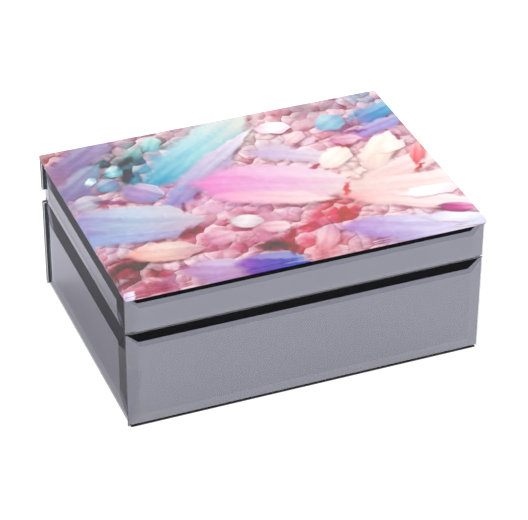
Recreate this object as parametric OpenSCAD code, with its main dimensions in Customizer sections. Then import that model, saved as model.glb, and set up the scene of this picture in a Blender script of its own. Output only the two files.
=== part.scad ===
// Mirrored trinket box: a velvet-lined fibreboard base and hinged lid, both faced with
// bevelled grey mirror glass, with a clear glass top plate laid over a printed sheet.
// Origin at the middle of the underside. +X to the right, +Y to the back, +Z up.

/* [Box] */
// Width over the side glass
box_w = 200; // [180:1:240]
// Depth over the front and back glass
box_d = 146; // [130:1:180]
// Height of the seam between base and lid
seam_z = 58.5; // [50:0.5:80]
// Height of the lid from the seam to the underside of the top plate
lid_h = 22; // [20:0.5:30]

/* [Glass] */
// Thickness of the mirror glass and of the top plate
glass_t = 3; // [3:0.5:4]
// Edge thickness left by the bevels on the front
front_edge_t = 1.2; // [1:0.1:2]
// Edge thickness left by the bevels on the sides
side_edge_t = 1.6; // [1:0.1:2.2]
// Bevel width on the front and its lid strip's ends
front_bevel = 7.4; // [5:0.2:8]
// Bevel width on the sides
side_bevel = 11.5; // [6:0.5:12]
// Top bevel left on the lid's front strip
lid_front_top_bevel = 5.6; // [3:0.2:6]
// Bottom bevel left on the lid's front and side strips
lid_bottom_bevel = 4; // [2:0.5:6]
// Top bevel left on the lid's side strips
lid_side_top_bevel = 8; // [4:0.5:9]
// Ground arris on the plain back glass and the top plate
arris = 0.6; // [0.3:0.1:1]

/* [Carcass] */
// Thickness of the fibreboard walls
board_t = 6; // [5:0.5:6.5]
// Thickness of the lid's top board
lid_board_t = 3; // [2:0.5:4]
// Thickness of the floor board between the walls
floor_t = 3; // [2:0.5:5]
// Thickness of the bottom board under the walls
bottom_board_t = 1.4; // [1:0.1:3]
// Thickness of the felt underneath
felt_t = 0.6; // [0.4:0.1:1]
// Bed of glue between glass and board
glue_t = 0.3; // [0.2:0.1:0.5]
// Thickness of the printed sheet under the top plate
print_t = 0.2; // [0.1:0.1:0.4]

/* [Lining] */
// Thickness of the velvet-covered wall card
lining_t = 1; // [0.6:0.1:1.5]
// Thickness of the velvet pad on the floor
floor_pad_t = 4; // [3:0.5:6]
// Thickness of the velvet pad inside the lid
lid_pad_t = 3; // [2:0.5:4]

/* [Hinge] */
// Distance of each hinge from the middle of the back
hinge_x = 60; // [40:1:70]
// Length of a hinge
hinge_w = 20; // [16:1:30]
// Height of back glass cut away above and below the seam
hinge_gap = 4.1; // [4:0.1:5]
// Depth of the hinge pin inside the back face
hinge_inset = 3; // [3:0.1:3.2]
// Radius of the knuckles
knuckle_r = 1.9; // [1.7:0.1:2]
// Radius of the pin
pin_r = 0.9; // [0.8:0.05:1]
// Thickness of the leaves
leaf_t = 0.8; // [0.6:0.1:1]

/* [Hidden] */
$fn = 48;
e = 0.01;
seam_gap = 0.4;        // board to board, and leaf to leaf, across the seam
glass_seam_gap = 0.8;  // glass to glass across the seam
butt_gap = 0.1;        // joint between neighbouring panes, and between neighbouring linings
lining_gap = 0.3;      // pad to lining
felt_inset = 1.4;      // the felt ends this far inside the glass faces
clear_run = 0.05;      // radial clearance of the lid knuckle on the pin
clear_part = 0.4;      // clearance round the barrel and between knuckles
front_slope = (glass_t - front_edge_t) / front_bevel;
side_slope = (glass_t - side_edge_t) / side_bevel;
base_front_bevels = [front_bevel, front_bevel, front_bevel, front_bevel];
base_side_bevels = [side_bevel, side_bevel, side_bevel, side_bevel];
lid_front_bevels = [lid_front_top_bevel, lid_bottom_bevel, front_bevel, front_bevel];
lid_side_bevels = [lid_side_top_bevel, lid_bottom_bevel, side_bevel, side_bevel];

plate_z = seam_z + lid_h;                    // underside of the top plate
base_z0 = felt_t + bottom_board_t;           // where the walls and the floor stand
lining_z0 = base_z0 + floor_t;               // where the floor pad and the base linings stand
wall_z1 = seam_z - seam_gap / 2;             // top of the base walls
rail_z0 = seam_z + seam_gap / 2;             // bottom of the lid rails
glass_z1 = seam_z - glass_seam_gap / 2;      // top of the base glass
strip_z0 = seam_z + glass_seam_gap / 2;      // bottom of the lid strips
strip_z1 = plate_z - print_t - butt_gap;     // top of the lid strips
lid_board_z0 = plate_z - print_t - lid_board_t;

body_w = box_w - 2 * (glass_t + glue_t);     // outer size of both carcasses
body_d = box_d - 2 * (glass_t + glue_t);
in_w = body_w - 2 * board_t;                 // clear size inside the boards
in_d = body_d - 2 * board_t;
side_len = box_d - 2 * (glass_t + butt_gap); // side panes stand between the front and back panes

hinge_y = box_d / 2 - hinge_inset;
board_in_y = body_d / 2 - board_t;
leaf_inset = 0.6;      // board left standing inside the leaf
screw_margin = 1.7;    // screw from the leaf's inner edge
leaf_y0 = board_in_y + leaf_inset;
screw_y = leaf_y0 + screw_margin;
screw_x = 6.6;
screw_r = 0.8;
screw_head_r = 1.5;
screw_head_share = 0.8; // of the leaf's thickness
screw_l = 7;
knuckle_w = hinge_w / 3;
mid_knuckle = [[-knuckle_w / 2, knuckle_w / 2]];
side_knuckles = [[-hinge_w / 2, -knuckle_w / 2 - clear_part], [knuckle_w / 2 + clear_part, hinge_w / 2]];

// The finishes, as plain colours
mirror_c = [0.58, 0.57, 0.62];
board_c = [0.16, 0.15, 0.16];
velvet_c = [0.10, 0.10, 0.11];
metal_c = [0.75, 0.75, 0.76];

// A flat block, centred in x and y, standing on z0
module block(w, d, z0, z1) {
  translate([-w / 2, -d / 2, z0]) cube([w, d, z1 - z0]);
}

// A pane standing on z = 0 from x = 0 to w, its back on y = 0 and its face towards -y.
// b holds the bevel widths at the top, bottom, left and right edges.
module pane(w, h, b, slope) {
  intersection() {
    rotate([90, 0, 90]) linear_extrude(w) polygon([
      [0, 0], [0, h],
      [slope * b[0] - glass_t, h], [-glass_t, h - b[0]],
      [-glass_t, b[1]], [slope * b[1] - glass_t, 0]
    ]);
    linear_extrude(h) polygon([
      [0, 0], [w, 0],
      [w, slope * b[3] - glass_t], [w - b[3], -glass_t],
      [b[2], -glass_t], [0, slope * b[2] - glass_t]
    ]);
  }
}

// The four faces of a storey of glass
module front_pane(z0, z1, b) {
  color(mirror_c) translate([-box_w / 2, glass_t - box_d / 2, z0]) pane(box_w, z1 - z0, b, front_slope);
}
module back_pane(z0, z1) {
  color(mirror_c) translate([box_w / 2, box_d / 2 - glass_t, z0]) rotate([0, 0, 180])
    pane(box_w, z1 - z0, [arris, arris, arris, arris], 1);
}
module right_pane(z0, z1, b) {
  color(mirror_c) translate([box_w / 2 - glass_t, -side_len / 2, z0]) rotate([0, 0, 90])
    pane(side_len, z1 - z0, b, side_slope);
}
module left_pane(z0, z1, b) {
  mirror([1, 0, 0]) right_pane(z0, z1, b);
}

// Boards: front and back run the full width, the sides fit between them
module long_board(side, z0, z1) {
  translate([0, side * (body_d - board_t) / 2, 0]) block(body_w, board_t, z0, z1);
}
module short_board(side, z0, z1) {
  translate([side * (body_w - board_t) / 2, 0, 0]) block(board_t, in_d, z0, z1);
}

// Linings: front and back run the full inner width, the sides fit between them
module long_lining(side, z0, z1) {
  color(velvet_c) translate([0, side * (in_d - lining_t) / 2, 0]) block(in_w, lining_t, z0, z1);
}
module short_lining(side, z0, z1) {
  color(velvet_c) translate([side * (in_w - lining_t) / 2, 0, 0])
    block(lining_t, in_d - 2 * (lining_t + butt_gap), z0, z1);
}

// Places its children at both hinges
module at_hinges() {
  for (s = [-1, 1]) translate([s * hinge_x, 0, 0]) children();
}
module along_pin(r, x0, x1) {
  translate([x0, hinge_y, seam_z]) rotate([0, 90, 0]) cylinder(r = r, h = x1 - x0);
}
// The room for a leaf and the barrel, cut from a board's edge; up is 1 for the lid, -1 for the base
module hinge_mortise(up) {
  z = seam_z + up * (seam_gap / 2 + leaf_t / 2);
  translate([-hinge_w / 2 - butt_gap, leaf_y0 - butt_gap, z - leaf_t / 2 - (up < 0 ? 0 : e)])
    cube([hinge_w + 2 * butt_gap, board_t, leaf_t + e]);
  along_pin(knuckle_r + clear_part, -hinge_w / 2 - clear_part, hinge_w / 2 + clear_part);
  for (sx = [-1, 1]) translate([sx * screw_x, screw_y, z]) rotate([up < 0 ? 180 : 0, 0, 0])
    cylinder(r = screw_r, h = screw_l);
}
// A leaf let into the board's edge, with the knuckles between each [x0, x1]
module leaf(up, knuckles) {
  zc = seam_z + up * (seam_gap + leaf_t) / 2;
  short_y = hinge_y - knuckle_r - clear_part;
  difference() {
    union() {
      translate([-hinge_w / 2, leaf_y0, zc - leaf_t / 2]) cube([hinge_w, short_y - leaf_y0, leaf_t]);
      for (k = knuckles) {
        translate([k[0], short_y - e, zc - leaf_t / 2])
          cube([k[1] - k[0], hinge_y - short_y + e, leaf_t]);
        along_pin(knuckle_r, k[0], k[1]);
      }
    }
    along_pin(pin_r + (up > 0 ? clear_run : 0), -hinge_w, hinge_w);
    for (sx = [-1, 1]) translate([sx * screw_x, screw_y, zc]) screw_shape(up, leaf_t);
  }
}
// A countersunk screw, its head flush with the leaf's inner face and its point away from the seam
module screw_shape(up, length) {
  rotate([up < 0 ? 180 : 0, 0, 0]) translate([0, 0, -leaf_t / 2]) {
    cylinder(r1 = screw_head_r, r2 = screw_r, h = leaf_t * screw_head_share);
    cylinder(r = screw_r, h = length);
  }
}
module screws(up) {
  zc = seam_z + up * (seam_gap + leaf_t) / 2;
  color(metal_c) at_hinges() for (sx = [-1, 1])
    translate([sx * screw_x, screw_y, zc]) screw_shape(up, screw_l);
}

module bottom_felt() {
  color(velvet_c) block(box_w - 2 * felt_inset, box_d - 2 * felt_inset, 0, felt_t);
}
module bottom_board() {
  color(board_c) block(body_w, body_d, felt_t, base_z0);
}
module floor_board() {
  color(board_c) block(in_w, in_d, base_z0, base_z0 + floor_t);
}
module base_front_board() {
  color(board_c) long_board(-1, base_z0, wall_z1);
}
module base_back_board() {
  color(board_c) difference() {
    long_board(1, base_z0, wall_z1);
    at_hinges() hinge_mortise(-1);
  }
}
module base_left_board() {
  color(board_c) short_board(-1, base_z0, wall_z1);
}
module base_right_board() {
  color(board_c) short_board(1, base_z0, wall_z1);
}
module base_front_glass() {
  front_pane(felt_t, glass_z1, base_front_bevels);
}
module base_back_glass() {
  back_pane(felt_t, seam_z - hinge_gap);
}
module base_left_glass() {
  left_pane(felt_t, glass_z1, base_side_bevels);
}
module base_right_glass() {
  right_pane(felt_t, glass_z1, base_side_bevels);
}
module base_front_lining() {
  long_lining(-1, lining_z0, wall_z1);
}
module base_back_lining() {
  long_lining(1, lining_z0, wall_z1);
}
module base_left_lining() {
  short_lining(-1, lining_z0, wall_z1);
}
module base_right_lining() {
  short_lining(1, lining_z0, wall_z1);
}
module floor_pad() {
  shrink = 2 * (lining_t + lining_gap);
  color(velvet_c) block(in_w - shrink, in_d - shrink, lining_z0, lining_z0 + floor_pad_t);
}

module left_hinge_base_leaf() {
  color(metal_c) translate([-hinge_x, 0, 0]) leaf(-1, side_knuckles);
}
module right_hinge_base_leaf() {
  color(metal_c) translate([hinge_x, 0, 0]) leaf(-1, side_knuckles);
}
module left_hinge_pin() {
  color(metal_c) translate([-hinge_x, 0, 0]) along_pin(pin_r, -hinge_w / 2, hinge_w / 2);
}
module right_hinge_pin() {
  color(metal_c) translate([hinge_x, 0, 0]) along_pin(pin_r, -hinge_w / 2, hinge_w / 2);
}
module hinge_base_screws() {
  screws(-1);
}

module lid_front_rail() {
  color(board_c) long_board(-1, rail_z0, lid_board_z0);
}
module lid_back_rail() {
  color(board_c) difference() {
    long_board(1, rail_z0, lid_board_z0);
    at_hinges() hinge_mortise(1);
  }
}
module lid_left_rail() {
  color(board_c) short_board(-1, rail_z0, lid_board_z0);
}
module lid_right_rail() {
  color(board_c) short_board(1, rail_z0, lid_board_z0);
}
module lid_top_board() {
  color(board_c) block(body_w, body_d, lid_board_z0, plate_z - print_t);
}
module print_sheet() {
  color([0.85, 0.65, 0.75]) block(box_w, box_d, plate_z - print_t, plate_z);
}
module lid_top_glass() {
  color([0.9, 0.75, 0.85, 0.4]) translate([-box_w / 2, -box_d / 2, plate_z]) rotate([-90, 0, 0])
    pane(box_w, box_d, [arris, arris, arris, arris], 1);
}
module lid_front_glass() {
  front_pane(strip_z0, strip_z1, lid_front_bevels);
}
module lid_back_glass() {
  back_pane(seam_z + hinge_gap, strip_z1);
}
module lid_left_glass() {
  left_pane(strip_z0, strip_z1, lid_side_bevels);
}
module lid_right_glass() {
  right_pane(strip_z0, strip_z1, lid_side_bevels);
}
module lid_front_lining() {
  long_lining(-1, rail_z0, lid_board_z0);
}
module lid_back_lining() {
  long_lining(1, rail_z0, lid_board_z0);
}
module lid_left_lining() {
  short_lining(-1, rail_z0, lid_board_z0);
}
module lid_right_lining() {
  short_lining(1, rail_z0, lid_board_z0);
}
module lid_pad() {
  shrink = 2 * (lining_t + lining_gap);
  color(velvet_c) block(in_w - shrink, in_d - shrink, lid_board_z0 - lid_pad_t, lid_board_z0);
}
module left_hinge_lid_leaf() {
  color(metal_c) translate([-hinge_x, 0, 0]) leaf(1, mid_knuckle);
}
module right_hinge_lid_leaf() {
  color(metal_c) translate([hinge_x, 0, 0]) leaf(1, mid_knuckle);
}
module hinge_lid_screws() {
  screws(1);
}

bottom_felt();
bottom_board();
floor_board();
base_front_board();
base_back_board();
base_left_board();
base_right_board();
base_front_glass();
base_back_glass();
base_left_glass();
base_right_glass();
base_front_lining();
base_back_lining();
base_left_lining();
base_right_lining();
floor_pad();
left_hinge_base_leaf();
right_hinge_base_leaf();
left_hinge_pin();
right_hinge_pin();
hinge_base_screws();
lid_front_rail();
lid_back_rail();
lid_left_rail();
lid_right_rail();
lid_top_board();
print_sheet();
lid_top_glass();
lid_front_glass();
lid_back_glass();
lid_left_glass();
lid_right_glass();
lid_front_lining();
lid_back_lining();
lid_left_lining();
lid_right_lining();
lid_pad();
left_hinge_lid_leaf();
right_hinge_lid_leaf();
hinge_lid_screws();
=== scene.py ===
import math

import bmesh
import bpy
from mathutils import Matrix, Vector


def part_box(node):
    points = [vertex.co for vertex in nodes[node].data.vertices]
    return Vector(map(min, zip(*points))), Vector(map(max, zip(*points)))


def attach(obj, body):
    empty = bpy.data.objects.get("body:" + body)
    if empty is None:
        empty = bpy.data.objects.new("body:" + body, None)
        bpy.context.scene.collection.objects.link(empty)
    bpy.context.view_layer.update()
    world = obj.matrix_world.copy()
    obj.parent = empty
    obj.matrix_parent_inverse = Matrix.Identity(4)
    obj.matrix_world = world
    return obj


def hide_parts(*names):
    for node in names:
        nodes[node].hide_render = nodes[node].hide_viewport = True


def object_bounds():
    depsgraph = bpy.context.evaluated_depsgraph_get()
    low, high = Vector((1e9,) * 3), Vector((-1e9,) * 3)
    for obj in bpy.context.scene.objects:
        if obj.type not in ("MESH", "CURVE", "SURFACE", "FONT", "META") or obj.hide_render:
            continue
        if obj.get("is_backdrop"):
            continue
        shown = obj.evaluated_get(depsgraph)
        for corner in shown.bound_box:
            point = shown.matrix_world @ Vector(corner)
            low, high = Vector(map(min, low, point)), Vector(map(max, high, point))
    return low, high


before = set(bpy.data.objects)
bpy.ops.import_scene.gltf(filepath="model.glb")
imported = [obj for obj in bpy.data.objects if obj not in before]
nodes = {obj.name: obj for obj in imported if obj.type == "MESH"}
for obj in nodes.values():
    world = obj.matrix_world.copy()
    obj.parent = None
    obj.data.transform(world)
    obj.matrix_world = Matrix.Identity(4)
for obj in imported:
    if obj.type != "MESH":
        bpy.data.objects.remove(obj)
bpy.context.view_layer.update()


# ---- Carcass ---------------------------------------------------------------------------------
# Fibreboard walls, rails, floor, bottom and lid board, glued into a base and a lid frame.
# They are wrapped in matt black paper, whose fibres give a faint mottle and a soft tooth.

MM = 0.001
PAPER_BLACK = "#1d1c1f"
PAPER_WORN = "#2b2a2e"
PAPER_MOTTLE_MM = 9.0
PAPER_FIBRE_MM = 0.7


def srgb(code):
    """An sRGB hex colour as linear RGBA."""
    parts = [int(code[i:i + 2], 16) / 255 for i in (1, 3, 5)]
    return [p / 12.92 if p <= 0.04045 else ((p + 0.055) / 1.055) ** 2.4 for p in parts] + [1.0]


def add(tree, kind, inputs=None, **settings):
    """Adds a node with its settings. An input is a value, another node's output, or another node
    where its first output is meant."""
    made = tree.nodes.new("ShaderNode" + kind)
    for name, value in settings.items():
        setattr(made, name, value)
    for name, value in (inputs or {}).items():
        if isinstance(value, bpy.types.Node):
            value = value.outputs[0]
        if isinstance(value, bpy.types.NodeSocket):
            tree.links.new(value, made.inputs[name])
        else:
            made.inputs[name].default_value = value
    return made


def new_material(name):
    """An empty material with its output node."""
    material = bpy.data.materials.new(name)
    material.use_nodes = True
    material.node_tree.nodes.clear()
    return material, material.node_tree, material.node_tree.nodes.new("ShaderNodeOutputMaterial")


def per_mm(size_mm):
    """The texture scale, in metres, at which one feature is that many millimetres across."""
    return 1.0 / (size_mm * MM)


def coat(material, *names):
    """Gives CAD nodes a material and nothing else."""
    for name in names:
        slots = nodes[name].material_slots
        for slot in slots:
            slot.material = material


def black_paper():
    # Uncoated paper: no shine, a slow mottle in its black, and fibres that catch the light.
    material, tree, out = new_material("black_wrapping_paper")
    place = add(tree, "TexCoord").outputs["Object"]
    mottle = add(tree, "TexNoise", {"Vector": place, "Scale": per_mm(PAPER_MOTTLE_MM), "Detail": 4.0})
    fibre = add(tree, "TexNoise", {"Vector": place, "Scale": per_mm(PAPER_FIBRE_MM), "Detail": 3.0})
    colour = add(tree, "Mix", {"Factor": mottle.outputs["Fac"], 6: srgb(PAPER_BLACK),
                               7: srgb(PAPER_WORN)}, data_type="RGBA")
    rough = add(tree, "MapRange", {"Value": fibre.outputs["Fac"], "To Min": 0.62, "To Max": 0.85})
    bump = add(tree, "Bump", {"Height": fibre.outputs["Fac"], "Strength": 0.5, "Distance": 0.03 * MM})
    shader = add(tree, "BsdfPrincipled", {"Base Color": colour.outputs[2], "Roughness": rough.outputs[0],
                                          "Normal": bump.outputs[0], "Specular IOR Level": 0.3})
    tree.links.new(shader.outputs[0], out.inputs[0])
    return material


BOARDS = [n for n in nodes if n.endswith(("_board", "_rail"))]
coat(black_paper(), *BOARDS)


# ---- Felt ------------------------------------------------------------------------------------
# A sheet of pressed black felt glued under the bottom board, so that the box can't scratch.
# Felt has no weave: its matted fibres run every way and soften the edge light.

FELT_DARK = "#151517"
FELT_LIGHT = "#2a2a2e"
FELT_FIBRE_MM = 0.5


def pressed_felt():
    # Matted wool: fully rough, a little sheen, with tangled fibres in colour and in relief.
    material, tree, out = new_material("pressed_black_felt")
    place = add(tree, "TexCoord").outputs["Object"]
    fibre = add(tree, "TexNoise", {"Vector": place, "Scale": per_mm(FELT_FIBRE_MM), "Detail": 5.0,
                                   "Distortion": 1.5})
    colour = add(tree, "Mix", {"Factor": fibre.outputs["Fac"], 6: srgb(FELT_DARK),
                               7: srgb(FELT_LIGHT)}, data_type="RGBA")
    bump = add(tree, "Bump", {"Height": fibre.outputs["Fac"], "Strength": 0.8, "Distance": 0.15 * MM})
    shader = add(tree, "BsdfPrincipled", {"Base Color": colour.outputs[2], "Roughness": 1.0,
                                          "Normal": bump.outputs[0], "Sheen Weight": 0.3})
    tree.links.new(shader.outputs[0], out.inputs[0])
    return material


coat(pressed_felt(), "bottom_felt")


# ---- Velvet lining and pads ------------------------------------------------------------------
# The walls are lined with card, and the floor and the lid with a thin foam pad, all wrapped in
# black velvet that is turned over the edges and pushed into place inside the carcass.

VELVET_DEEP = "#0b0b0d"
VELVET_BRUSHED = "#232327"
VELVET_SHEEN = "#8c8c96"
PILE_MM = 0.45
BRUSHED_MM = 26.0
CARD_ROUND = 0.45 * MM
CARD_SWELL = 0.12 * MM
PAD_ROUND = 1.9 * MM
PAD_CROWN = 1.5 * MM        # how far a pad's middle stands above its rolled edge
PAD_WAIST = 0.9 * MM        # how far a pad's sides pull in between its corners
PAD_RIPPLE = 0.22 * MM
CARD_RIPPLE = 0.02 * MM
WRAP_STEPS = 48
ROLL_ANGLES = (90, 62, 40, 20, 0)   # where the rim's roll has a row of points
ROLL_DEEPEST = 0.9          # the roll stops at this part of the thickness
UNDER_ROLL = 0.35           # the far side's roll as a part of the shown side's


def black_velvet():
    # Short cut pile: near black face on, pale at a glancing angle, with patches brushed the
    # other way and the single tufts showing as a fine tooth.
    material, tree, out = new_material("black_cut_pile_velvet")
    place = add(tree, "TexCoord").outputs["Object"]
    brushed = add(tree, "TexNoise", {"Vector": place, "Scale": per_mm(BRUSHED_MM), "Detail": 3.0,
                                     "Distortion": 0.8})
    pile = add(tree, "TexNoise", {"Vector": place, "Scale": per_mm(PILE_MM), "Detail": 2.0})
    patch = add(tree, "MapRange", {"Value": brushed.outputs["Fac"], 1: 0.42, 2: 0.62})
    tuft = add(tree, "Math", {0: patch.outputs[0], 1: pile.outputs["Fac"]}, operation="MULTIPLY")
    colour = add(tree, "Mix", {"Factor": tuft.outputs[0], 6: srgb(VELVET_DEEP),
                               7: srgb(VELVET_BRUSHED)}, data_type="RGBA")
    sheen = add(tree, "MapRange", {"Value": brushed.outputs["Fac"], 1: 0.35, 2: 0.65, 3: 0.25, 4: 0.8})
    bump = add(tree, "Bump", {"Height": pile.outputs["Fac"], "Strength": 0.7, "Distance": 0.25 * MM})
    shader = add(tree, "BsdfPrincipled", {"Base Color": colour.outputs[2], "Roughness": 0.95,
                                          "Normal": bump.outputs[0], "Specular IOR Level": 0.1,
                                          "Sheen Weight": sheen.outputs[0], "Sheen Roughness": 0.35,
                                          "Sheen Tint": srgb(VELVET_SHEEN)})
    tree.links.new(shader.outputs[0], out.inputs[0])
    return material


def piece(name, mesh_maker, *materials):
    """A new object whose mesh is made by mesh_maker in a bmesh."""
    mesh = bpy.data.meshes.new(name)
    form = bmesh.new()
    mesh_maker(form)
    bmesh.ops.recalc_face_normals(form, faces=form.faces)
    form.to_mesh(mesh)
    form.free()
    made = bpy.data.objects.new(name, mesh)
    bpy.context.scene.collection.objects.link(made)
    for material in materials:
        mesh.materials.append(material)
    return made


def wrapped_form(low, high, thin, shown, radius, crown, waist, ripple):
    """A wrapped slab in the box low to high. Its thin axis is flat on the far side and crowned on
    the shown side (1 or -1), its rim is rolled, and its long sides pull in between the corners."""
    long_a, long_b = [a for a in range(3) if a != thin]
    mid, half = (low + high) / 2, (high - low) / 2
    full = half[thin] * 2 - crown - ripple
    base = low[thin] if shown > 0 else high[thin]

    def line(length):
        """Places from -1 to 1, close together where the rim rolls over."""
        roll = [1 - radius / length * (1 - math.cos(math.radians(t))) for t in ROLL_ANGLES]
        inner = [roll[0] * (2 * i / WRAP_STEPS - 1) for i in range(1, WRAP_STEPS)]
        return [-r for r in reversed(roll)] + inner + roll

    def rolled(a, b):
        """How far the rim has rolled down at a place."""
        fall = 0.0
        for inset in ((1 - abs(a)) * half[long_a], (1 - abs(b)) * half[long_b]):
            if inset < radius:
                fall += radius - math.sqrt(max(radius ** 2 - (radius - inset) ** 2, 0.0))
        return min(fall, full * ROLL_DEEPEST)

    def height(a, b):
        """The shown side's height: crowned, with a slow ripple that dies out at the rim."""
        swell = (1 - a ** 4) * (1 - b ** 4)
        wave = math.sin(a * 7.3 + b * 2.1) * math.sin(b * 5.9 - a * 1.7 + 0.6)
        return full + crown * swell + ripple * wave * swell - rolled(a, b)

    def point(a, b, side):
        at = Vector((0, 0, 0))
        at[long_a] = mid[long_a] + half[long_a] * a - waist * a * (1 - b * b)
        at[long_b] = mid[long_b] + half[long_b] * b - waist * b * (1 - a * a)
        at[thin] = base + shown * (height(a, b) if side > 0 else rolled(a, b) * UNDER_ROLL)
        return at

    def build(form):
        a_line, b_line = line(half[long_a]), line(half[long_b])
        sides = []
        for side in (1, -1):
            rows = [[form.verts.new(point(a, b, side)) for b in b_line] for a in a_line]
            for i in range(len(a_line) - 1):
                for j in range(len(b_line) - 1):
                    form.faces.new((rows[i][j], rows[i + 1][j], rows[i + 1][j + 1], rows[i][j + 1]))
            sides.append(rows)
        top, under = sides
        last_a, last_b = len(a_line) - 1, len(b_line) - 1
        ring = ([(i, 0) for i in range(last_a)] + [(last_a, j) for j in range(last_b)]
                + [(i, last_b) for i in range(last_a, 0, -1)] + [(0, j) for j in range(last_b, 0, -1)])
        for (i, j), (k, m) in zip(ring, ring[1:] + ring[:1]):
            form.faces.new((top[i][j], top[k][m], under[k][m], under[i][j]))
        for face in form.faces:
            face.smooth = True

    return build


velvet = black_velvet()
LINED = {
    "base_front": (1, 1), "base_back": (1, -1), "base_left": (0, 1), "base_right": (0, -1),
    "lid_front": (1, 1), "lid_back": (1, -1), "lid_left": (0, 1), "lid_right": (0, -1),
}
for wall, (thin, shown) in LINED.items():
    low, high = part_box(wall + "_lining")
    card = piece(wall + "_velvet_card",
                 wrapped_form(low, high, thin, shown, CARD_ROUND, CARD_SWELL, 0.0, CARD_RIPPLE), velvet)
    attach(card, wall.split("_")[0])
    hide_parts(wall + "_lining")

for body, pad_node, shown in (("base", "floor_pad", 1), ("lid", "lid_pad", -1)):
    low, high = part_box(pad_node)
    pad = piece(body + "_velvet_pad",
                wrapped_form(low, high, 2, shown, PAD_ROUND, PAD_CROWN, PAD_WAIST, PAD_RIPPLE), velvet)
    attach(pad, body)
    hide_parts(pad_node)


# ---- Hinges ----------------------------------------------------------------------------------
# Two small butt hinges: stamped leaves of nickel-plated steel with rolled knuckles on a steel
# pin, let into the edges of the back board and rail and held by countersunk cross-head screws.

NICKEL = "#c9c6c0"
NICKEL_WORN = "#a9a49c"
STEEL = "#b4b4b6"
STEEL_DARK = "#7e7e82"
WEAR_MM = 4.0
TUMBLE_MM = 0.35
DRAW_MM = 0.3
SCREW_X = 6.6 * MM          # from a hinge's middle to its screws, each way
HEAD_R = 1.5 * MM
SHANK_R = 0.8 * MM
HEAD_DEEP = 0.64 * MM
THREAD_GAP = 0.2 * MM       # plain shank under the head
THREAD_TURNS = 7
THREAD_ROOT = 0.78          # the thread's root as a part of the shank
THREAD_PART = 0.8           # how much of the shank's length has thread
POINT_R = 0.12 * SHANK_R
POINT_PART = 0.97           # how much of the shank's length the point reaches
ROUND_SIDES = 32
CROSS_LONG = 0.95 * MM      # half the cross's span
CROSS_WIDE = 0.2 * MM       # half a slot's width
CROSS_DEEP = 0.45 * MM
CROSS_FOOT = 0.55           # the recess's foot as a part of its mouth


def plated_nickel():
    # Bright plating over stamped steel: warm mirror broken by tumbling marks and a little wear.
    material, tree, out = new_material("tumbled_nickel_plate")
    place = add(tree, "TexCoord").outputs["Object"]
    wear = add(tree, "TexNoise", {"Vector": place, "Scale": per_mm(WEAR_MM), "Detail": 4.0})
    marks = add(tree, "TexNoise", {"Vector": place, "Scale": per_mm(TUMBLE_MM), "Detail": 3.0})
    colour = add(tree, "Mix", {"Factor": wear.outputs["Fac"], 6: srgb(NICKEL), 7: srgb(NICKEL_WORN)},
                 data_type="RGBA")
    rough = add(tree, "MapRange", {"Value": marks.outputs["Fac"], "To Min": 0.14, "To Max": 0.38})
    bump = add(tree, "Bump", {"Height": marks.outputs["Fac"], "Strength": 0.25, "Distance": 0.02 * MM})
    shader = add(tree, "BsdfPrincipled", {"Base Color": colour.outputs[2], "Metallic": 1.0,
                                          "Roughness": rough.outputs[0], "Normal": bump.outputs[0]})
    tree.links.new(shader.outputs[0], out.inputs[0])
    return material


def drawn_steel():
    # Cold-drawn wire and screw steel: fine lines along the draw, duller than the plating.
    material, tree, out = new_material("cold_drawn_steel")
    place = add(tree, "TexCoord").outputs["Object"]
    along = add(tree, "VectorMath", {0: place, 1: (0.1, 1.0, 1.0)}, operation="MULTIPLY")
    lines = add(tree, "TexNoise", {"Vector": along.outputs[0], "Scale": per_mm(DRAW_MM), "Detail": 4.0})
    colour = add(tree, "Mix", {"Factor": lines.outputs["Fac"], 6: srgb(STEEL), 7: srgb(STEEL_DARK)},
                 data_type="RGBA")
    bump = add(tree, "Bump", {"Height": lines.outputs["Fac"], "Strength": 0.3, "Distance": 0.01 * MM})
    shader = add(tree, "BsdfPrincipled", {"Base Color": colour.outputs[2], "Metallic": 1.0,
                                          "Roughness": 0.33, "Normal": bump.outputs[0]})
    tree.links.new(shader.outputs[0], out.inputs[0])
    return material


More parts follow.
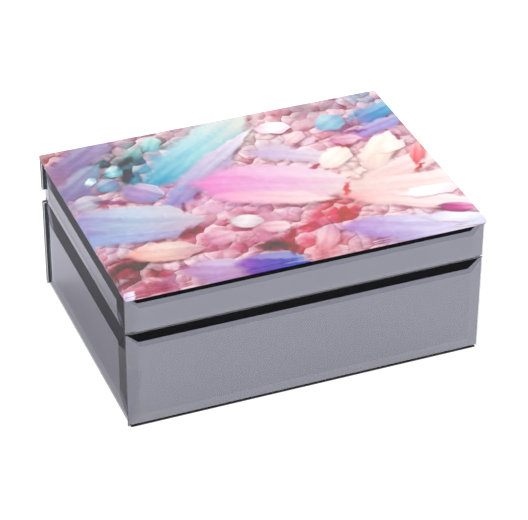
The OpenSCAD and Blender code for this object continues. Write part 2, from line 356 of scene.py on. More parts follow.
def screw_form(form, at, down, whole):
    """A countersunk screw of a whole length, with its head at a point and its shank running down
    (1 or -1) in z."""
    length = whole - HEAD_DEEP
    rings = [(HEAD_R, 0.0), (SHANK_R, HEAD_DEEP)]
    for k in range(THREAD_TURNS * 2):
        radius = SHANK_R * (1.0 if k % 2 else THREAD_ROOT)
        depth = length * THREAD_PART * k / (THREAD_TURNS * 2)
        rings.append((radius, HEAD_DEEP + THREAD_GAP + depth))
    rings.append((POINT_R, HEAD_DEEP + length * POINT_PART))

    def ring(radius, depth):
        turns = [2 * math.pi * i / ROUND_SIDES for i in range(ROUND_SIDES)]
        return [form.verts.new(at + Vector((radius * math.cos(turn), radius * math.sin(turn), down * depth)))
                for turn in turns]

    def skin(one, two):
        for i in range(len(one)):
            k = (i + 1) % len(one)
            form.faces.new((one[i], one[k], two[k], two[i]))

    made = [ring(radius, depth) for radius, depth in rings]
    for one, two in zip(made, made[1:]):
        skin(one, two)
    form.faces.new(made[-1])

    # The head's face with its cross-shaped recess
    outline = [(CROSS_LONG, CROSS_WIDE), (CROSS_WIDE, CROSS_WIDE), (CROSS_WIDE, CROSS_LONG)]
    cross = []
    for quarter in range(4):
        turn = Matrix.Rotation(quarter * math.pi / 2, 3, "Z")
        cross += [turn @ Vector((x, y, 0)) for x, y in outline]
    mouth = [form.verts.new(at + c) for c in cross]
    foot = [form.verts.new(at + c * CROSS_FOOT + Vector((0, 0, down * CROSS_DEEP))) for c in cross]
    skin(mouth, foot)
    form.faces.new(foot)
    edges = []
    for loop in (made[0], mouth):
        for i, vert in enumerate(loop):
            other = loop[(i + 1) % len(loop)]
            edges.append(form.edges.get((vert, other)) or form.edges.new((vert, other)))
    bmesh.ops.triangle_fill(form, use_beauty=True, edges=edges)


nickel, steel = plated_nickel(), drawn_steel()
for side in ("left", "right"):
    coat(nickel, side + "_hinge_base_leaf", side + "_hinge_lid_leaf")
    coat(steel, side + "_hinge_pin")

for body, down in (("base", -1), ("lid", 1)):
    low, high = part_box("hinge_%s_screws" % body)
    head_z = high.z if down < 0 else low.z

    def four_screws(form):
        for side in ("left", "right"):
            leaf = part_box("%s_hinge_%s_leaf" % (side, body))
            hinge_x = (leaf[0].x + leaf[1].x) / 2
            for hole in (-SCREW_X, SCREW_X):
                at = Vector((hinge_x + hole, (low.y + high.y) / 2, head_z))
                screw_form(form, at, down, high.z - low.z)

    screws = piece(body + "_cross_head_screws", four_screws, steel)
    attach(screws, body)
    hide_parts("hinge_%s_screws" % body)


# ---- Mirror glass ----------------------------------------------------------------------------
# Eight panes of 3 mm float glass with wide ground and polished bevels, glued to the boards.
# Each is silvered behind with a grey-tinted film, and the film is sealed with grey paint.

GLASS_CLEAR = "#f3f5f6"
GLASS_IOR = 1.52
GLASS_WAVE_MM = 60.0
GROUND_ROUGH = 0.32
FACE_COSINE = 0.4           # a surface turned further from the pane's faces than this is ground
SILVER_TINT = "#898793"
SILVER_WORN = "#84828e"
SILVER_CLOUD_MM = 35.0
SEAL_PAINT = "#4a4b4f"
STIPPLE_MM = 1.2
SILVER_IN = 0.02 * MM       # the film lies in the glass by this much, so that no air is between them
SILVER_T = 0.1 * MM         # film and paint, drawn thicker than they are
SILVER_EDGE = 0.35 * MM     # bare glass left round the film

PANES = {
    "base": ["base_front_glass", "base_back_glass", "base_left_glass", "base_right_glass"],
    "lid": ["lid_front_glass", "lid_back_glass", "lid_left_glass", "lid_right_glass"],
}


def float_glass(name, face_axis):
    # Clear soda-lime glass: sharp on its faces and polished bevels, with the slow waves of a
    # float line, and finely ground to a grey frost on its edges, which face along the pane.
    material, tree, out = new_material(name)
    where = add(tree, "TexCoord").outputs
    wave = add(tree, "TexNoise", {"Vector": where["Object"], "Scale": per_mm(GLASS_WAVE_MM), "Detail": 1.0})
    faces = add(tree, "VectorMath", {0: where["Normal"], 1: face_axis}, operation="DOT_PRODUCT")
    face_on = add(tree, "Math", {0: faces.outputs["Value"]}, operation="ABSOLUTE")
    ground = add(tree, "Math", {0: face_on.outputs[0], 1: FACE_COSINE}, operation="LESS_THAN")
    rough = add(tree, "Math", {0: ground.outputs[0], 1: GROUND_ROUGH}, operation="MULTIPLY")
    bump = add(tree, "Bump", {"Height": wave.outputs["Fac"], "Strength": 0.3, "Distance": 0.01 * MM})
    shader = add(tree, "BsdfPrincipled", {"Base Color": srgb(GLASS_CLEAR), "Roughness": rough.outputs[0],
                                          "Normal": bump.outputs[0], "IOR": GLASS_IOR,
                                          "Transmission Weight": 1.0})
    tree.links.new(shader.outputs[0], out.inputs[0])
    return material


def silver_film():
    # A chemically deposited metal film: a true mirror, grey-tinted and very slightly cloudy.
    material, tree, out = new_material("grey_silvering")
    place = add(tree, "TexCoord").outputs["Object"]
    cloud = add(tree, "TexNoise", {"Vector": place, "Scale": per_mm(SILVER_CLOUD_MM), "Detail": 3.0})
    colour = add(tree, "Mix", {"Factor": cloud.outputs["Fac"], 6: srgb(SILVER_TINT),
                               7: srgb(SILVER_WORN)}, data_type="RGBA")
    rough = add(tree, "MapRange", {"Value": cloud.outputs["Fac"], "To Min": 0.012, "To Max": 0.03})
    shader = add(tree, "BsdfPrincipled", {"Base Color": colour.outputs[2], "Metallic": 1.0,
                                          "Roughness": rough.outputs[0]})
    tree.links.new(shader.outputs[0], out.inputs[0])
    return material


def seal_paint():
    # Mirror-back paint: a flat grey coat with roller stipple, seen only at the pane's rim.
    material, tree, out = new_material("mirror_back_paint")
    place = add(tree, "TexCoord").outputs["Object"]
    stipple = add(tree, "TexNoise", {"Vector": place, "Scale": per_mm(STIPPLE_MM), "Detail": 2.0})
    bump = add(tree, "Bump", {"Height": stipple.outputs["Fac"], "Strength": 0.4, "Distance": 0.02 * MM})
    shader = add(tree, "BsdfPrincipled", {"Base Color": srgb(SEAL_PAINT), "Roughness": 0.6,
                                          "Normal": bump.outputs[0]})
    tree.links.new(shader.outputs[0], out.inputs[0])
    return material


def box_between(form, low, high):
    """A closed box in a bmesh; returns its faces."""
    size = high - low
    at = Matrix.Translation((low + high) / 2) @ Matrix.Diagonal((*size, 1.0))
    verts = bmesh.ops.create_cube(form, size=1.0, matrix=at)["verts"]
    return list({f for v in verts for f in v.link_faces})


def silver_on(name, film, paint):
    """The film and its paint behind one pane: the face towards the glass is the film."""
    low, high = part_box(name)
    across = 0 if high.x - low.x < high.y - low.y else 1
    outwards = 1 if (low + high)[across] > 0 else -1
    rest = [a for a in range(3) if a != across]
    near, far = low.copy(), high.copy()
    for a in rest:
        near[a] += SILVER_EDGE
        far[a] -= SILVER_EDGE
    back = low[across] if outwards > 0 else high[across]
    ends = sorted([back + outwards * SILVER_IN, back - outwards * (SILVER_T - SILVER_IN)])
    near[across], far[across] = ends

    def sheet_form(form):
        for face in box_between(form, near, far):
            face.normal_update()
            face.material_index = 0 if face.normal[across] * outwards > 0.5 else 1

    return piece(name.replace("_glass", "_silvering"), sheet_form, film, paint)


long_pane_glass = float_glass("bevelled_float_glass_long_panes", (0.0, 1.0, 0.0))
side_pane_glass = float_glass("bevelled_float_glass_side_panes", (1.0, 0.0, 0.0))
film, paint = silver_film(), seal_paint()
for body, panes in PANES.items():
    for pane in panes:
        on_side = "left" in pane or "right" in pane
        coat(side_pane_glass if on_side else long_pane_glass, pane)
        silvering = silver_on(pane, film, paint)
        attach(silvering, body)


# ---- Printed sheet ---------------------------------------------------------------------------
# A glossy paper print bonded to the back of the top plate. It shows heaped rose-quartz rubble
# with long pastel crystals and a few pebbles lying on it, all drawn here as patterns.

PRINT_IN = 0.02 * MM        # the ink lies in the glass by this much, so that no air is between them
PRINT_CORNER = 0.5 * MM
TRACE = 1e-6
INK_ROUGH = 0.45
INK_GROUND = "#dcb6c4"
INK_GAIN = 0.93
INK_LEAST = 0.004
PLATE_GLARE = 0.085         # what the plate's own gloss adds to every colour, taken off the ink

# Soft pools of ink under everything: x, y, turn in degrees, half length and half width in mm, colour
POOLS = [
    (-80, 62, 35, 46, 20, "#a48ab0"), (-92, 55, 50, 20, 11, "#a06a9f"), (-99, 70, 30, 20, 9, "#c38e98"),
    (-86, 38, 40, 38, 12, "#9085b5"), (-60, 46, 45, 32, 20, "#4c7c86"), (-44, 64, 20, 24, 13, "#79a8a8"),
    (-44, 38, 50, 28, 12, "#38a2c2"), (-24, 52, 40, 28, 13, "#8fcad4"), (-2, 60, 30, 34, 17, "#c9dad8"),
    (12, 46, 30, 24, 15, "#dfdad4"), (28, 68, 0, 30, 10, "#e6c7ce"), (54, 70, 10, 22, 9, "#b79aa8"),
    (86, 69, 0, 20, 10, "#a3aec4"), (92, 51, 25, 22, 12, "#559dc9"), (86, 37, 20, 30, 10, "#a794d0"),
    (66, 41, 0, 20, 9, "#b081ac"), (78, 28, -10, 24, 9, "#d08fc0"), (50, 31, 0, 24, 12, "#df9cb0"),
    (28, 32, -20, 28, 14, "#dec7d8"), (-82, -14, -10, 44, 20, "#a6a7cd"), (-30, 20, 35, 44, 15, "#bba0cd"),
    (-6, 0, -25, 52, 26, "#ebafdc"), (24, -16, -25, 46, 16, "#f3c7d1"), (74, -10, 0, 52, 38, "#f1d9d6"),
    (90, -38, 0, 28, 18, "#fbe6ec"), (95, 0, 60, 20, 8, "#f6959c"), (-34, -36, 0, 54, 24, "#d184a0"),
    (-72, -40, 0, 28, 12, "#e8b9b4"), (-93, -50, 0, 24, 20, "#7a3a4e"), (-84, -67, 0, 26, 12, "#bf6c86"),
    (-50, -65, 0, 30, 11, "#b98db8"), (-20, -69, 0, 26, 11, "#7558b6"), (-10, -55, 0, 18, 10, "#7c2c43"),
    (8, -61, 0, 18, 12, "#e68e97"), (30, -38, 50, 40, 17, "#d8505f"), (12, -48, 10, 26, 13, "#dd6480"),
    (50, -63, -18, 40, 12, "#c2a1d7"), (86, -63, -15, 28, 11, "#ddd0e8"), (91, -54, -20, 14, 6, "#ac4a86"),
]


def new_group(name, takes, gives):
    """An empty node group; takes and gives name its sockets with their kinds."""
    group = bpy.data.node_groups.new(name, "ShaderNodeTree")
    for way, sockets in (("INPUT", takes), ("OUTPUT", gives)):
        for socket, kind in sockets.items():
            group.interface.new_socket(socket, in_out=way, socket_type="NodeSocket" + kind)
    return group, group.nodes.new("NodeGroupInput").outputs, group.nodes.new("NodeGroupOutput").inputs


def turned_to(group, given):
    """The point turned about a crystal's centre to lie along it, and the same from that centre."""
    turned = add(group, "VectorRotate", {"Vector": given["Point"], "Center": given["Centre"],
                                         "Angle": given["Turn"]}, rotation_type="Z_AXIS", invert=True)
    return turned, add(group, "VectorMath", {0: turned, 1: given["Centre"]}, operation="SUBTRACT")


def layered(tree, colour, layers):
    """Colours laid one over another. A layer has the value that drives it, where it starts and
    where it is full, its full strength, its colour and its blend mode."""
    for drive, start, full, strength, over, how in layers:
        cover = add(tree, "MapRange", {"Value": drive, 1: start, 2: full, 4: strength},
                    interpolation_type="SMOOTHSTEP")
        colour = add(tree, "Mix", {"Factor": cover, 6: colour, 7: over}, data_type="RGBA",
                     blend_type=how).outputs[2]
    return colour


def pool_group():
    """One soft oval of ink laid over what is under it. Lengths are in mm."""
    group, given, result = new_group(
        "ink_pool",
        {"Under": "Color", "Point": "Vector", "Centre": "Vector", "Turn": "Float", "Half size": "Vector",
         "Ink": "Color"},
        {"Colour": "Color"})
    turned, local = turned_to(group, given)
    unit = add(group, "VectorMath", {0: local, 1: given["Half size"]}, operation="DIVIDE")
    away = add(group, "VectorMath", {0: unit}, operation="LENGTH").outputs["Value"]
    laid = layered(group, given["Under"], [(away, 1.15, 0.35, 1.0, given["Ink"], "MIX")])
    group.links.new(laid, result["Colour"])
    return group


def crystal_group():
    """One crystal or pebble painted over what is under it. Lengths are in mm."""
    group, given, result = new_group(
        "painted_crystal",
        {"Under": "Color", "Point": "Vector", "Centre": "Vector", "Turn": "Float", "Half size": "Vector",
         "Tip": "Float", "Round": "Float", "Soft": "Float", "Tail": "Color", "Body": "Color",
         "Head": "Color"},
        {"Colour": "Color", "Point": "Vector"})
    turned, local = turned_to(group, given)
    shake = add(group, "TexNoise", {"Vector": turned, "Scale": 0.1, "Detail": 3.0})
    shaken = add(group, "VectorMath", {0: shake.outputs["Color"], 1: (6.0, 3.4, 0.0), 2: local},
                 operation="MULTIPLY_ADD")
    centred = add(group, "VectorMath", {0: shaken, 1: (3.0, 1.7, 0.0)}, operation="SUBTRACT")
    unit = add(group, "VectorMath", {0: centred, 1: given["Half size"]}, operation="DIVIDE")
    part = add(group, "SeparateXYZ", {0: unit}).outputs
    u, v = part[0], part[1]

    # The outline: a prism with two points, or an oval where Round is 1
    from_middle = add(group, "Math", {0: u}, operation="ABSOLUTE")
    past_tip = add(group, "Math", {0: from_middle, 1: given["Tip"]}, operation="SUBTRACT")
    in_tip = add(group, "Math", {0: past_tip, 1: 0.0}, operation="MAXIMUM")
    tip_length = add(group, "Math", {0: 1.0, 1: given["Tip"]}, operation="SUBTRACT")
    point = add(group, "Math", {0: in_tip, 1: tip_length}, operation="DIVIDE")
    u_squared = add(group, "Math", {0: u, 1: u}, operation="MULTIPLY")

    def reach(shift):
        """How far out a place is, 1 on the outline, with the crystal moved down by a shift."""
        moved = add(group, "Math", {0: v, 1: shift}, operation="ADD")
        aside = add(group, "Math", {0: moved}, operation="ABSOLUTE")
        prism = add(group, "Math", {0: aside, 1: point}, operation="ADD")
        v_squared = add(group, "Math", {0: moved, 1: moved}, operation="MULTIPLY")
        squares = add(group, "Math", {0: u_squared, 1: v_squared}, operation="ADD")
        oval = add(group, "Math", {0: squares}, operation="SQRT")
        return add(group, "Mix", {"Factor": given["Round"], 2: prism, 3: oval})

    # A crystal is hard-edged at its head and along its top, and melts away towards its tail
    edge = reach(0.0)
    tailwards = add(group, "MapRange", {"Value": u, 1: 0.3, 2: -1.0}, interpolation_type="SMOOTHSTEP")
    melt = add(group, "Math", {0: tailwards, 1: 0.45, 2: given["Soft"]}, operation="MULTIPLY_ADD")
    start = add(group, "Math", {0: melt, 1: 0.12, 2: 1.0}, operation="MULTIPLY_ADD")
    full = add(group, "Math", {0: melt, 1: -0.8, 2: 0.94}, operation="MULTIPLY_ADD")
    firm = add(group, "Math", {0: melt, 1: -1.2, 2: 1.0}, operation="MULTIPLY_ADD")
    crisp = add(group, "Math", {0: firm, 1: 0.0}, operation="MAXIMUM")

    # Colour runs from the tail over the body to the head, with streaks along the crystal
    flow_at = add(group, "VectorMath", {0: local, 1: (0.02, 0.12, 0.0)}, operation="MULTIPLY")
    flow = add(group, "TexNoise", {"Vector": flow_at, "Scale": 1.0, "Detail": 2.0})
    uneven = add(group, "Math", {0: flow.outputs["Fac"], 1: 0.5}, operation="SUBTRACT")
    along = add(group, "Math", {0: uneven, 1: 0.8, 2: u}, operation="MULTIPLY_ADD")
    streak_at = add(group, "VectorMath", {0: local, 1: (0.03, 0.3, 0.0)}, operation="MULTIPLY")
    streak = add(group, "TexNoise", {"Vector": streak_at, "Scale": 1.0, "Detail": 4.0})
    grey = add(group, "MapRange", {"Value": streak.outputs["Fac"], 1: 0.3, 2: 0.7, 3: 0.34, 4: 0.68},
               interpolation_type="SMOOTHSTEP")
    colour = layered(group, given["Tail"], [(along, -0.95, 0.05, 1.0, given["Body"], "MIX"),
                                            (along, -0.05, 0.9, 1.0, given["Head"], "MIX")])
    streaked = add(group, "Mix", {"Factor": 0.32, 6: colour, 7: grey}, data_type="RGBA",
                   blend_type="SOFT_LIGHT")

    # A lit upper facet, a darker lower one, and a bright line where the top edge catches light
    tilt = add(group, "Math", {0: u, 1: 0.16, 2: v}, operation="MULTIPLY_ADD")
    lit = add(group, "Math", {0: crisp, 1: 0.26}, operation="MULTIPLY")
    unlit = add(group, "Math", {0: crisp, 1: 0.3}, operation="MULTIPLY")
    half_crisp = add(group, "Math", {0: crisp, 1: 0.5}, operation="MULTIPLY")
    upper = add(group, "MapRange", {"Value": v, 1: 0.0, 2: 0.5, 4: half_crisp},
                interpolation_type="SMOOTHSTEP")
    colour = layered(group, streaked.outputs[2], [
        (tilt, 0.25, 0.45, lit, srgb("#ffffff"), "SCREEN"),
        (tilt, -0.25, -0.6, unlit, given["Tail"], "MULTIPLY"),
        (edge, 0.84, 0.97, upper, srgb("#fff6f8"), "MIX"),
    ])
    painted = layered(group, given["Under"], [
        (reach(0.25), 1.12, 0.75, half_crisp, srgb("#7d4a66"), "MULTIPLY"),
        (edge, start, full, 1.0, colour, "MIX"),
    ])
    group.links.new(painted, result["Colour"])

    # The point goes on to the next crystal with a trace of colour in it, which moves nothing that
    # shows but has the crystals worked out one after another, as the shader's memory needs
    passed = add(group, "VectorMath", {0: painted, 1: (TRACE, TRACE, 0.0), 2: given["Point"]},
                 operation="MULTIPLY_ADD")
    group.links.new(passed.outputs[0], result["Point"])
    return group


# Crystals and pebbles, from the bottom of the heap to the top: x, y, turn in degrees, half length
# and half width in mm, where the point starts, roundness, softness, and colours from tail to head
CRYSTALS = [
    (-84, 60, 38, 36, 11, 0.6, 0.0, 0.5, "#a8748f", "#9480ae", "#b3a3c4"),
    (-90, 38, 42, 28, 8, 0.5, 0.0, 0.4, "#8b6ba0", "#9a92b8", "#8aa3bb"),
    (-18, 48, 36, 54, 15, 0.5, 0.0, 0.25, "#2f9fc4", "#a5d6e0", "#e2e0da"),
    (-26, 22, 41, 44, 10, 0.5, 0.0, 0.3, "#8f86c4", "#c0a8d2", "#dccbe0"),
    (-14, 34, 38, 46, 5, 0.5, 0.0, 0.4, "#9aa8d4", "#cfc2dd", "#efe6ee"),
    (-60, 18, -35, 13, 10, 0.3, 0.8, 0.0, "#a58fc2", "#bb9dcb", "#9c97c4"),
    (-91, 18, 20, 11, 7, 0.3, 0.9, 0.1, "#a493b2", "#c4bfce", "#b6a6b8"),
    (-75, 31, 30, 8, 7, 0.3, 0.9, 0.1, "#6f95b4", "#8fa9c6", "#8d8fb6"),
    (-68, 43, 10, 7, 5, 0.3, 0.9, 0.0, "#4e93a3", "#b4e2e8", "#6fb1bc"),
    (-82, 38, 60, 4, 3.2, 0.3, 1.0, 0.0, "#93bfd0", "#eef8fb", "#9cc7d6"),
    (-52, 56, 50, 9, 6, 0.3, 0.6, 0.2, "#4c7f88", "#7ba5a8", "#9dc2c3"),
    (-60, 33, 70, 7, 4.5, 0.3, 0.7, 0.2, "#2f6f88", "#5f9fb0", "#4f86a6"),
    (-39, 63, 60, 10, 6, 0.4, 0.4, 0.2, "#5aa6b4", "#9ad0d4", "#cfe2de"),
    (-76, -8, -16, 42, 17, 0.55, 0.25, 0.1, "#a289c6", "#b0bfd8", "#cdb9cc"),
    (-82, -20, -10, 34, 7, 0.5, 0.1, 0.5, "#93a6d2", "#a9b4da", "#b9a8cc"),
    (8, 2, -21, 50, 20, 0.45, 0.1, 0.1, "#f08dce", "#edb2da", "#ecd2d8"),
    (2, -10, -22, 40, 8, 0.45, 0.1, 0.5, "#f5a5d0", "#f4c4d6", "#f6dcdc"),
    (32, 24, -28, 34, 7, 0.5, 0.1, 0.3, "#ccb0d8", "#dccadf", "#f0cdd6"),
    (30, 56, -16, 12, 6.5, 0.45, 0.1, 0.0, "#f2c4dc", "#fffafc", "#f6dbe6"),
    (38, 42, 40, 9, 5, 0.4, 0.3, 0.2, "#e8b0c0", "#f4d4dc", "#eec6d2"),
    (62, 50, 35, 11, 9, 0.4, 0.6, 0.1, "#86a9cf", "#a6cedb", "#93b3cf"),
    (92, 51, 24, 20, 7, 0.5, 0.0, 0.2, "#8f86c4", "#4f9acb", "#7cb9cf"),
    (84, 36, 18, 24, 6, 0.5, 0.0, 0.3, "#c083ca", "#b09fd6", "#a7a6d8"),
    (62, 30, -10, 12, 5, 0.4, 0.2, 0.3, "#d07aa8", "#e4a3bf", "#f1c3d2"),
    (50, 14, 40, 15, 8, 0.5, 0.1, 0.1, "#f6d8d8", "#fbeee8", "#f3e2dc"),
    (76, 12, 52, 24, 9, 0.5, 0.0, 0.15, "#f0cfcc", "#f4e4d8", "#fdf0ec"),
    (84, 14, 20, 12, 5, 0.5, 0.0, 0.2, "#f7dcd6", "#fdf1ea", "#ffe2e2"),
    (80, -8, 18, 36, 9, 0.55, 0.0, 0.2, "#ecd0cc", "#f3d3d4", "#fbe6ea"),
    (74, -24, -8, 44, 10, 0.55, 0.0, 0.15, "#eac6c4", "#f3d8d6", "#f9e6e8"),
    (70, -38, -26, 42, 8, 0.5, 0.0, 0.2, "#f2a9aa", "#f4dcdc", "#fbe7ee"),
    (86, -35, -6, 18, 5, 0.6, 0.0, 0.1, "#fbeef2", "#fff8fb", "#f6dfe8"),
    (94, 2, 66, 14, 4.5, 0.3, 0.0, 0.2, "#d9535f", "#f2848e", "#f7b7b8"),
    (91, -54, -20, 13, 4, 0.4, 0.0, 0.25, "#9a2f70", "#cf5a9c", "#ee9fc6"),
    (60, -63, -20, 40, 12, 0.5, 0.15, 0.1, "#b988cc", "#ccbde2", "#e6dff0"),
    (88, -64, -22, 22, 5, 0.5, 0.0, 0.2, "#d9d0e8", "#f4f0fa", "#cfd2e8"),
    (-18, -28, -20, 10, 6.5, 0.4, 0.7, 0.15, "#dccbd2", "#efe4e8", "#d9c3cc"),
    (-36, -38, 10, 10, 7, 0.4, 0.6, 0.25, "#cf86a6", "#e2a6bd", "#e8bccb"),
    (-6, -38, -10, 11, 6, 0.4, 0.6, 0.25, "#d898ae", "#ecc0cc", "#f2d2d8"),
    (-68, -40, -8, 23, 8.5, 0.5, 0.3, 0.1, "#f2b3aa", "#eccac2", "#d6a3b0"),
    (-48, -65, -16, 20, 10, 0.5, 0.3, 0.1, "#c28fb8", "#c6a3cf", "#b98fb8"),
    (-19, -69, -14, 22, 10, 0.45, 0.3, 0.1, "#9b5cbd", "#6c5cb6", "#4468c0"),
    (16, -58, 62, 14, 6, 0.5, 0.2, 0.15, "#e08a98", "#e9b4bf", "#dca4bd"),
    (-98, -72, 35, 6, 3.5, 0.4, 0.3, 0.5, "#b9a4dc", "#e0d4f4", "#f6f0fc"),
]

# Hollows in shadow between the crystals: x, y, turn, half length and half width, and the shade
# that darkens what lies there
HOLLOWS = [
    (-78, 15, -25, 11, 3.2, "#b484b4"), (-33, 4, 60, 6, 3.4, "#c890b0"), (-44, -4, 70, 6, 2.0, "#c898b4"),
    (-92, -48, 30, 14, 9, "#cc6c88"), (-76, -58, -20, 10, 5, "#d47c8c"), (-13, -55, -12, 14, 5, "#b03c68"),
    (0, -47, 40, 6, 3.5, "#c85880"), (32, -40, 55, 10, 3.4, "#e46470"), (44, -18, 60, 8, 2.6, "#ee7880"),
    (10, -44, 20, 8, 3.0, "#d46484"), (70, 36, -10, 9, 2.6, "#c888b0"), (60, 24, -30, 8, 2.2, "#d880a0"),
    (-62, 36, 60, 9, 3.4, "#3c7890"), (-58, 50, 40, 10, 3.6, "#5c8890"), (37, 10, 40, 5, 1.8, "#d07088"),
    (90, -11, 30, 6, 1.8, "#d84c58"), (-50, -28, 50, 10, 4, "#d880a0"), (-4, -62, 70, 7, 2.6, "#c44468"),
]

RUBBLE_MM = 8.0
CHIP_MM = 3.4
FLAW_MM = 2.6


def crystal_print():
    # Dye ink on gloss paper: even, saturated colour with no relief and no shine of its own.
    material, tree, out = new_material("bonded_crystal_print")
    place = add(tree, "TexCoord").outputs["Object"]
    in_mm = add(tree, "VectorMath", {0: place, 1: (1 / MM, 1 / MM, 0.0)}, operation="MULTIPLY")

    def wandering(scale, detail, reach):
        """The point moved about by a noise, by up to half of reach each way."""
        noise = add(tree, "TexNoise", {"Vector": in_mm, "Scale": scale, "Detail": detail})
        moved = add(tree, "VectorMath", {0: noise.outputs["Color"], 1: (reach, reach, 0.0), 2: in_mm},
                    operation="MULTIPLY_ADD")
        return add(tree, "VectorMath", {0: moved, 1: (reach / 2, reach / 2, 0.0)}, operation="SUBTRACT")

    def lay(group, colour, point, x, y, turn, half_l, half_w, more):
        """One pool or crystal of a group laid over a colour."""
        takes = {"Under": colour, "Point": point, "Centre": (x, y, 0.0), "Turn": math.radians(turn),
                 "Half size": (half_l, half_w, 1.0), **more}
        return add(tree, "Group", takes, node_tree=group).outputs

    pools, crystals = pool_group(), crystal_group()
    drift = wandering(0.03, 4.0, 30.0)
    colour = srgb(INK_GROUND)
    for *spot, hue in POOLS:
        colour = lay(pools, colour, drift, *spot, {"Ink": srgb(hue)})["Colour"]

    # Rubble: rounded cells of two sizes, lit from the upper left, that stand out here and there
    heap = wandering(0.09, 2.0, 8.0)
    plain = add(tree, "TexNoise", {"Vector": in_mm, "Scale": 0.045, "Detail": 2.0})
    stone = add(tree, "TexVoronoi", {"Vector": heap, "Scale": 1 / RUBBLE_MM}, voronoi_dimensions="2D")
    chip = add(tree, "TexVoronoi", {"Vector": heap, "Scale": 1 / CHIP_MM}, voronoi_dimensions="2D")
    gap = add(tree, "TexVoronoi", {"Vector": heap, "Scale": 1 / RUBBLE_MM}, voronoi_dimensions="2D",
              feature="DISTANCE_TO_EDGE")
    tone = add(tree, "SeparateColor", {0: stone.outputs["Color"]}).outputs
    facet = add(tree, "SeparateColor", {0: chip.outputs["Color"]}).outputs
    offset = add(tree, "VectorMath", {0: heap, 1: stone.outputs["Position"]}, operation="SUBTRACT")
    lit = add(tree, "VectorMath", {0: offset, 1: (-0.5, 0.86, 0.0)}, operation="DOT_PRODUCT")
    depth = add(tree, "MapRange", {"Value": tone[2], 1: 0.2, 2: 1.0, 4: 0.4},
                interpolation_type="SMOOTHSTEP")
    rubble = layered(tree, colour, [
        (tone[0], 0.3, 0.9, 0.45, srgb("#f8d3dd"), "MIX"),
        (tone[1], 0.5, 1.0, 0.45, srgb("#d9607f"), "MULTIPLY"),
        (facet[0], 0.2, 0.8, 0.5, srgb("#ffe9ee"), "SOFT_LIGHT"),
        (facet[1], 0.5, 1.0, 0.35, srgb("#c8587c"), "MULTIPLY"),
        (lit.outputs["Value"], 0.5, 4.5, 0.45, srgb("#fff1f3"), "MIX"),
        (lit.outputs["Value"], 0.0, -4.5, 0.5, srgb("#b04a6e"), "MULTIPLY"),
        (gap.outputs["Distance"], 0.22, 0.02, depth, srgb("#a8405c"), "MULTIPLY"),
    ])
    colour = layered(tree, colour, [(plain.outputs["Fac"], 0.3, 0.5, 1.0, rubble, "MIX")])

    point = wandering(0.2, 3.0, 2.5)
    for *spot, tip, rounded, soft, tail, middle, head in CRYSTALS:
        laid = lay(crystals, colour, point, *spot,
                   {"Tip": tip, "Round": rounded, "Soft": soft, "Tail": srgb(tail),
                    "Body": srgb(middle), "Head": srgb(head)})
        colour, point = laid["Colour"], laid["Point"]

    ragged = wandering(0.16, 4.0, 9.0)
    shadow = srgb("#ffffff")
    for *spot, hue in HOLLOWS:
        shadow = lay(pools, shadow, ragged, *spot, {"Ink": srgb(hue)})["Colour"]
    shadowed = add(tree, "Mix", {"Factor": 1.0, 6: colour, 7: shadow}, data_type="RGBA",
                   blend_type="MULTIPLY")

    # Fractures and flaws inside the stones: small soft-edged flecks over the whole print
    flaws = add(tree, "TexVoronoi", {"Vector": ragged, "Scale": 1 / FLAW_MM}, voronoi_dimensions="2D")
    fleck = add(tree, "SeparateColor", {0: flaws.outputs["Color"]}).outputs
    colour = layered(tree, shadowed.outputs[2], [
        (fleck[0], 0.55, 1.0, 0.16, srgb("#fff4f6"), "SOFT_LIGHT"),
        (fleck[1], 0.6, 1.0, 0.12, srgb("#8a4a6c"), "SOFT_LIGHT"),
    ])

    deeper = add(tree, "VectorMath", {0: colour, 1: (INK_GAIN,) * 3, 2: (-PLATE_GLARE,) * 3},
                 operation="MULTIPLY_ADD")
    ink = add(tree, "VectorMath", {0: deeper, 1: (INK_LEAST,) * 3}, operation="MAXIMUM")
    shader = add(tree, "BsdfPrincipled", {"Base Color": ink, "Roughness": INK_ROUGH,
                                          "Specular IOR Level": 0.2})
    tree.links.new(shader.outputs[0], out.inputs[0])
    return material


def print_form(form):
    low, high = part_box("print_sheet")
    high = high + Vector((0, 0, PRINT_IN))
    faces = box_between(form, low, high)
    upright = {e for f in faces for e in f.edges if abs(e.verts[0].co.z - e.verts[1].co.z) > PRINT_IN}
    bmesh.ops.bevel(form, geom=list(upright), offset=PRINT_CORNER, segments=3, affect="EDGES")


printed = piece("crystal_print", print_form, crystal_print())
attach(printed, "lid")
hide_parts("print_sheet")


# ---- Top plate -------------------------------------------------------------------------------
# A plain plate of clear glass over the print, its edges ground with a narrow arris.
# It is glued down over the panes, flush with the faces they have inside their bevels.

PLATE_CLEAR = "#fafcfb"
WIPE_MM = 22.0


def plate_glass():
    # Low-iron glass: the print shows through it, and lamps light the print through it too.
    material, tree, out = new_material("clear_plate_glass")
    place = add(tree, "TexCoord").outputs["Object"]
    wipe = add(tree, "TexNoise", {"Vector": place, "Scale": per_mm(WIPE_MM), "Detail": 3.0})
    haze = add(tree, "MapRange", {"Value": wipe.outputs["Fac"], "To Min": 0.0, "To Max": 0.02})
    solid = add(tree, "BsdfPrincipled", {"Base Color": srgb(PLATE_CLEAR), "Roughness": haze.outputs[0],
                                         "IOR": GLASS_IOR, "Transmission Weight": 1.0})
    through = add(tree, "BsdfTransparent", {"Color": srgb(PLATE_CLEAR)})
    ray = add(tree, "LightPath").outputs
    lamp_or_bounce = add(tree, "Math", {0: ray["Is Shadow Ray"], 1: ray["Is Diffuse Ray"]},
                         operation="MAXIMUM")
    both = add(tree, "MixShader", {0: lamp_or_bounce.outputs[0], 1: solid.outputs[0],
                                   2: through.outputs[0]})
    tree.links.new(both.outputs[0], out.inputs[0])
    return material


coat(plate_glass(), "lid_top_glass")


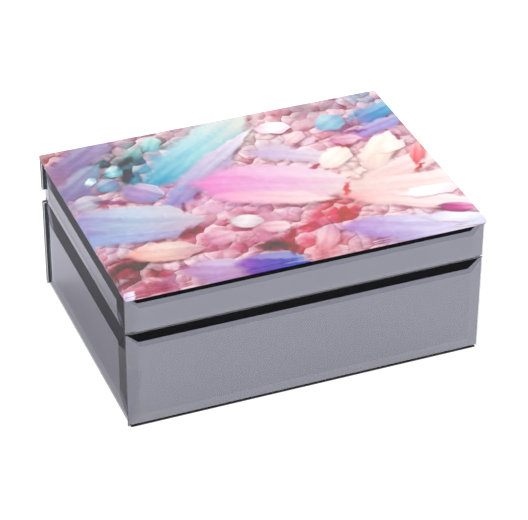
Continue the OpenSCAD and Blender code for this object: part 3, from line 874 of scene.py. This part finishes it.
# ---- Stage -----------------------------------------------------------------------------------
# A plain white table, lit softly from below through its top and from all round, with one large
# softbox over the right, and cards that give the bevels something darker to mirror.

FLOOR_HALF = 4.0
FLOOR_DROP = 0.05 * MM
FLOOR_WHITE = "#949496"
FLOOR_GLOW = 0.88
FLOOR_CLOUD_MM = 120.0
ROOM_LIGHT = 1.08
SOFTBOX_AT = (0.9, 0.3, 1.5)
SOFTBOX_SIZE = 1.2
SOFTBOX_WATTS = 12.0
FLOCK_MM = 1.5


def matt_table():
    material, tree, out = new_material("matt_white_table")
    place = add(tree, "TexCoord").outputs["Object"]
    cloud = add(tree, "TexNoise", {"Vector": place, "Scale": per_mm(FLOOR_CLOUD_MM), "Detail": 2.0})
    rough = add(tree, "MapRange", {"Value": cloud.outputs["Fac"], "To Min": 0.85, "To Max": 0.95})
    shader = add(tree, "BsdfPrincipled", {"Base Color": srgb(FLOOR_WHITE), "Roughness": rough.outputs[0],
                                          "Specular IOR Level": 0.1, "Emission Color": srgb("#ffffff"),
                                          "Emission Strength": FLOOR_GLOW})
    tree.links.new(shader.outputs[0], out.inputs[0])
    return material


def floor_form(form):
    lift = Matrix.Translation((0, 0, -FLOOR_DROP))
    bmesh.ops.create_grid(form, x_segments=1, y_segments=1, size=FLOOR_HALF, matrix=lift)


floor = piece("table_top", floor_form, matt_table())
floor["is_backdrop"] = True

world = bpy.data.worlds.new("soft_room")
bpy.context.scene.world = world
world.use_nodes = True
world.node_tree.nodes["Background"].inputs["Color"].default_value = (1.0, 1.0, 1.0, 1.0)
world.node_tree.nodes["Background"].inputs["Strength"].default_value = ROOM_LIGHT


def softbox(name, place, size, watts):
    """A square area lamp that faces the middle of the box."""
    lamp = bpy.data.lights.new(name, "AREA")
    lamp.size = size
    lamp.energy = watts
    made = bpy.data.objects.new(name, lamp)
    bpy.context.scene.collection.objects.link(made)
    made.location = place
    made.rotation_euler = (Vector((0, 0, 0.04)) - Vector(place)).to_track_quat("-Z", "Y").to_euler()
    return made


softbox("right_softbox", SOFTBOX_AT, SOFTBOX_SIZE, SOFTBOX_WATTS)

# Flock cards, outside the view, that the bevels mirror. The camera, bounced light and shadows pass
# them by, so they are painted reflections: a dark one stands before the front and darkens the
# bevels' reflections, and on the left a pale one lies beside the box with a grey one beyond it,
# which the panes mirror as painted shade on the table beside the box
CARDS = {
    "front_card": ("#73727a", Vector((-0.11, -0.312, 0.0)), Vector((0.29, -0.308, 0.07))),
    "left_near_card": ("#ecebf4", Vector((-0.1315, -0.12, 0.0001)), Vector((-0.0992, 0.26, 0.0005))),
    "left_far_card": ("#a19fa9", Vector((-0.32, -0.12, 0.0001)), Vector((-0.132, 0.36, 0.0005))),
}


def flock_card(name, grey):
    material, tree, out = new_material(name + "_flock")
    place = add(tree, "TexCoord").outputs["Object"]
    flock = add(tree, "TexNoise", {"Vector": place, "Scale": per_mm(FLOCK_MM), "Detail": 2.0})
    bump = add(tree, "Bump", {"Height": flock.outputs["Fac"], "Strength": 0.1, "Distance": 0.2 * MM})
    shader = add(tree, "BsdfPrincipled", {"Base Color": srgb(grey), "Roughness": 1.0,
                                          "Normal": bump.outputs[0], "Specular IOR Level": 0.0})
    tree.links.new(shader.outputs[0], out.inputs[0])
    return material


for name, (grey, low, high) in CARDS.items():
    card = piece(name, lambda form: box_between(form, low, high), flock_card(name, grey))
    card.visible_camera = False
    card.visible_diffuse = False
    card.visible_shadow = False
    card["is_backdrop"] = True

# The camera: a long lens from the front left, tilted down on the lid
CAMERA_AT = Vector((-0.39139, -0.99141, 0.7490))
CAMERA_AZIMUTH = math.radians(-21.714)
CAMERA_ELEVATION = math.radians(33.782)
CAMERA_ROLL = math.radians(0.297)
CAMERA_LENS = 160.0
CAMERA_SENSOR = 36.0

camera = bpy.data.objects.new("camera", bpy.data.cameras.new("camera"))
bpy.context.scene.collection.objects.link(camera)
camera.data.lens = CAMERA_LENS
camera.data.sensor_width = CAMERA_SENSOR
back = Vector((math.sin(CAMERA_AZIMUTH) * math.cos(CAMERA_ELEVATION),
               -math.cos(CAMERA_AZIMUTH) * math.cos(CAMERA_ELEVATION), math.sin(CAMERA_ELEVATION)))
aim = (-back).to_track_quat("-Z", "Y").to_matrix().to_4x4()
camera.matrix_world = Matrix.Translation(CAMERA_AT) @ aim @ Matrix.Rotation(CAMERA_ROLL, 4, "Z")
bpy.context.scene.camera = camera
bpy.context.scene.view_settings.view_transform = "Standard"

low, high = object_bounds()
